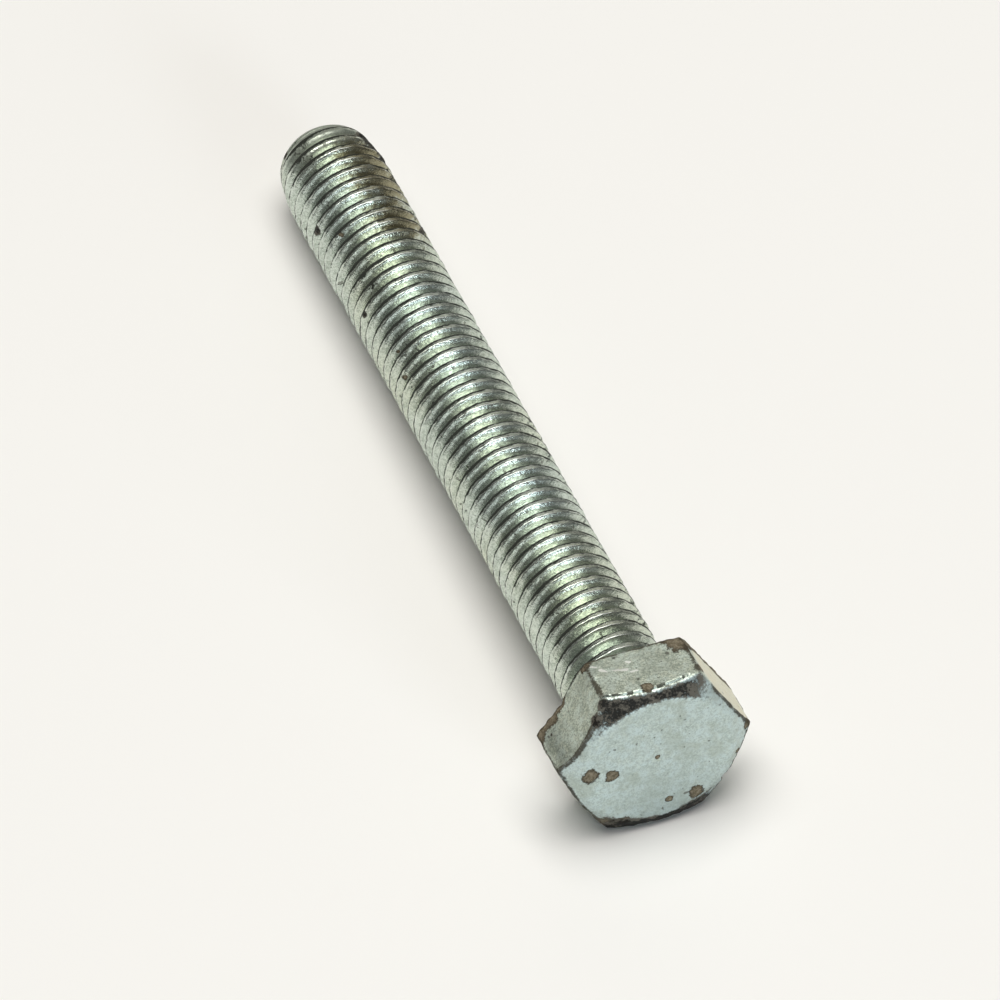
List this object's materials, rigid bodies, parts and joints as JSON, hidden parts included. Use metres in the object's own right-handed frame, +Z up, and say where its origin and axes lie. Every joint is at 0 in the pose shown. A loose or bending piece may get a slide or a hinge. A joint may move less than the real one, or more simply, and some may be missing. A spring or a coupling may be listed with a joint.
{
  "type": "hexagon head bolt",
  "caption": "Hexagon head bolt, threaded along the whole shank, with a chamfered head and a tapered tip, that clamps parts through a hole with a nut or in a tapped hole.",
  "frame": {"origin": "centre of the bearing face under the head", "axes": "+Z up; the axis runs from the head to the tip along +Y, with the tip dipped by about 2.4 degrees as the bolt lies on a flat of its head and on its last full crest"},
  "size_m": [0.015, 0.07, 0.0132],
  "materials": {
    "zinc_plated_steel": "bright zinc plating with a bluish tint, finely pitted, worn to brown specks at edges and corners"
  },
  "bodies": {
    "root": {"bolt": "zinc_plated_steel"}
  },
  "joints": []
}
